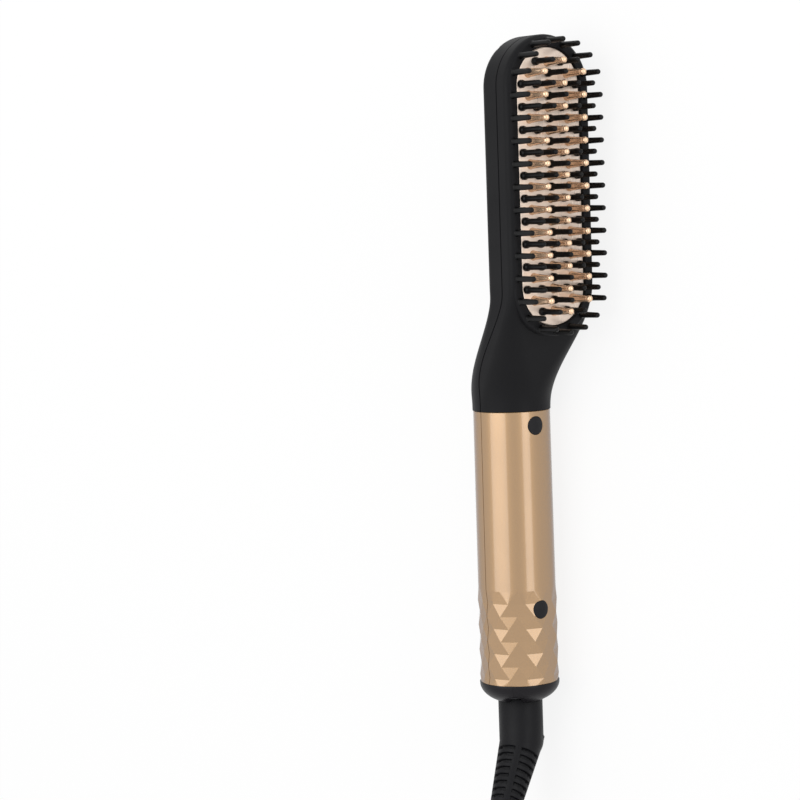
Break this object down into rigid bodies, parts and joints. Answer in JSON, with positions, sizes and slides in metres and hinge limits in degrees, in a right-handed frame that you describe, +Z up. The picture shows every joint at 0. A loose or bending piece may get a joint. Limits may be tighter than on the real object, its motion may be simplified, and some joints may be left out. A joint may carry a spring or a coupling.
{
  "type": "beard straightener",
  "caption": "Heated beard brush: black head with a gold plate, heated teeth and cool bristles, gold round handle with a slide switch, and a swivelling ribbed boot with a mains lead.",
  "frame": {"origin": "centre of the handset on the surface it lies on, without the boot and the lead", "axes": "+Y along the handle towards the head, +X the way the teeth point, +Z up"},
  "size_m": [0.0565, 0.5821, 0.0453],
  "materials": {
    "soft_black_shell": "soft-touch black",
    "black_nylon": "satin black nylon",
    "plate_metal": "satin pale rose gold",
    "tooth_metal": "satin copper gold",
    "ceramic_stone": "fired ceramic",
    "brass_strip": "bright brass",
    "heater_film": "amber polyimide film",
    "steel_clip": "spring steel",
    "insulation": "pressed mica board",
    "steel_screw": "zinc plated steel",
    "white_sleeve": "glass fibre sleeve",
    "green_bead": "glass bead",
    "red_wire": "silicone insulated wire",
    "gold_shell": "satin champagne gold spray paint",
    "gloss_black": "gloss black",
    "white_slider": "white acetal",
    "switch_case": "dark phenolic",
    "circuit_board": "green glass-fibre laminate",
    "lamp_red": "red epoxy",
    "dark_lens": "smoked clear plastic",
    "resistor": "coated resistor body",
    "plug_rubber": "black rubber",
    "terminal": "natural nylon",
    "blue_wire": "silicone insulated wire",
    "satin_black": "satin black",
    "washer": "acetal",
    "copper_contact": "phosphor bronze",
    "core_plastic": "black nylon",
    "boot_rubber": "satin black rubber",
    "cord_rubber": "black PVC sheath",
    "strap": "woven hook-and-loop strap",
    "plug_black": "black moulded PVC",
    "pin_metal": "nickel plated brass"
  },
  "bodies": {
    "lead": {"swivel_core": "core_plastic", "slip_rings": "brass_strip", "cord_boot": "boot_rubber", "power_lead": "cord_rubber", "lead_hank": "cord_rubber", "lead_tail": "cord_rubber", "hank_tie": "strap", "plug_body": "plug_black", "plug_pins": "pin_metal"},
    "handset": {"head_rear_shell": "soft_black_shell", "head_front_shell": "soft_black_shell", "edge_bristles": "black_nylon", "heating_plate": "plate_metal", "heated_teeth": "tooth_metal", "inner_bristles": "black_nylon", "ptc_stones": "ceramic_stone", "electrode_strips": "brass_strip", "heater_film": "heater_film", "heater_clamp": "steel_clip", "insulation_board": "insulation", "clamp_screws": "steel_screw", "thermal_fuse": "white_sleeve", "thermistor": "green_bead", "heater_leads": "red_wire", "handle_rear_shell": "gold_shell", "handle_front_shell": "gold_shell", "slide_switch": "switch_case", "control_board": "circuit_board", "board_screws": "steel_screw", "lamp": "lamp_red", "lamp_lens": "dark_lens", "lamp_resistor": "resistor", "handle_screws": "steel_screw", "screw_plugs": "plug_rubber", "terminal_block": "terminal", "supply_leads": "blue_wire", "end_cap_left": "satin_black", "end_cap_right": "satin_black", "swivel_washer": "washer", "brush_contacts": "copper_contact"},
    "switch_slider": {"switch_knob": "gloss_black", "switch_wiper": "white_slider"}
  },
  "joints": [
    {"name": "cord_swivel", "type": "hinge", "parent": "lead", "child": "handset", "pos_m": [-0.01265, -0.1191, 0.0148], "axis": [0, -1, 0], "continuous": true},
    {"name": "switch_slide", "type": "slide", "parent": "handset", "child": "switch_slider", "axis": [0, 1, 0], "range_m": [0, 0.005]}
  ]
}
